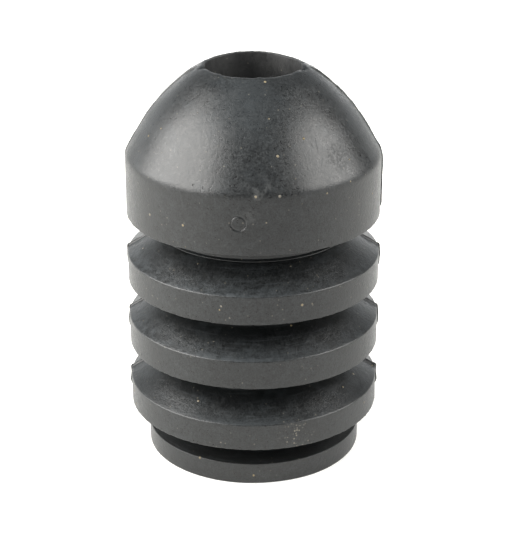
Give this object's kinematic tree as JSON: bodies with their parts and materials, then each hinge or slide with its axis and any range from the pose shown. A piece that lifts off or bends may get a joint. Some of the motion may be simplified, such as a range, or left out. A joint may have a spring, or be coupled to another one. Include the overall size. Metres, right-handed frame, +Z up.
{
  "type": "rubber bump stop",
  "caption": "Hollow ribbed rubber bump stop with a domed nose and a snap-in base flange; it slides on a damper rod and cushions the end of its stroke.",
  "frame": {"origin": "centre of the bore at the flat lower face of the base flange", "axes": "+Z up along the bore towards the domed nose; X and Y are free on a turned shape, and the mould's parting line lies in the XZ plane"},
  "size_m": [0.054, 0.054, 0.0857],
  "materials": {
    "black_rubber": "semi-matt moulded black rubber"
  },
  "bodies": {
    "base": {"base_flange": "black_rubber", "neck_4": "black_rubber"},
    "rib_3": {"rib_3": "black_rubber", "neck_3": "black_rubber"},
    "rib_2": {"rib_2": "black_rubber", "neck_2": "black_rubber"},
    "rib_1": {"rib_1": "black_rubber", "neck_1": "black_rubber"},
    "head": {"head": "black_rubber"}
  },
  "joints": [
    {"name": "groove_4_close", "type": "slide", "parent": "base", "child": "rib_3", "axis": [0, 0, -1], "range_m": [0, 0.0034], "stiffness_N_per_m": 150000, "deforming": ["neck_4"]},
    {"name": "groove_3_close", "type": "slide", "parent": "rib_3", "child": "rib_2", "axis": [0, 0, -1], "range_m": [0, 0.0056], "stiffness_N_per_m": 150000, "deforming": ["neck_3"]},
    {"name": "groove_2_close", "type": "slide", "parent": "rib_2", "child": "rib_1", "axis": [0, 0, -1], "range_m": [0, 0.0056], "stiffness_N_per_m": 150000, "deforming": ["neck_2"]},
    {"name": "groove_1_close", "type": "slide", "parent": "rib_1", "child": "head", "axis": [0, 0, -1], "range_m": [0, 0.006], "stiffness_N_per_m": 150000, "deforming": ["neck_1"]}
  ],
  "couplings": [
    {"joint": "groove_2_close", "follows": "groove_1_close", "ratio": 0.9333},
    {"joint": "groove_3_close", "follows": "groove_1_close", "ratio": 0.9333},
    {"joint": "groove_4_close", "follows": "groove_1_close", "ratio": 0.5666}
  ]
}
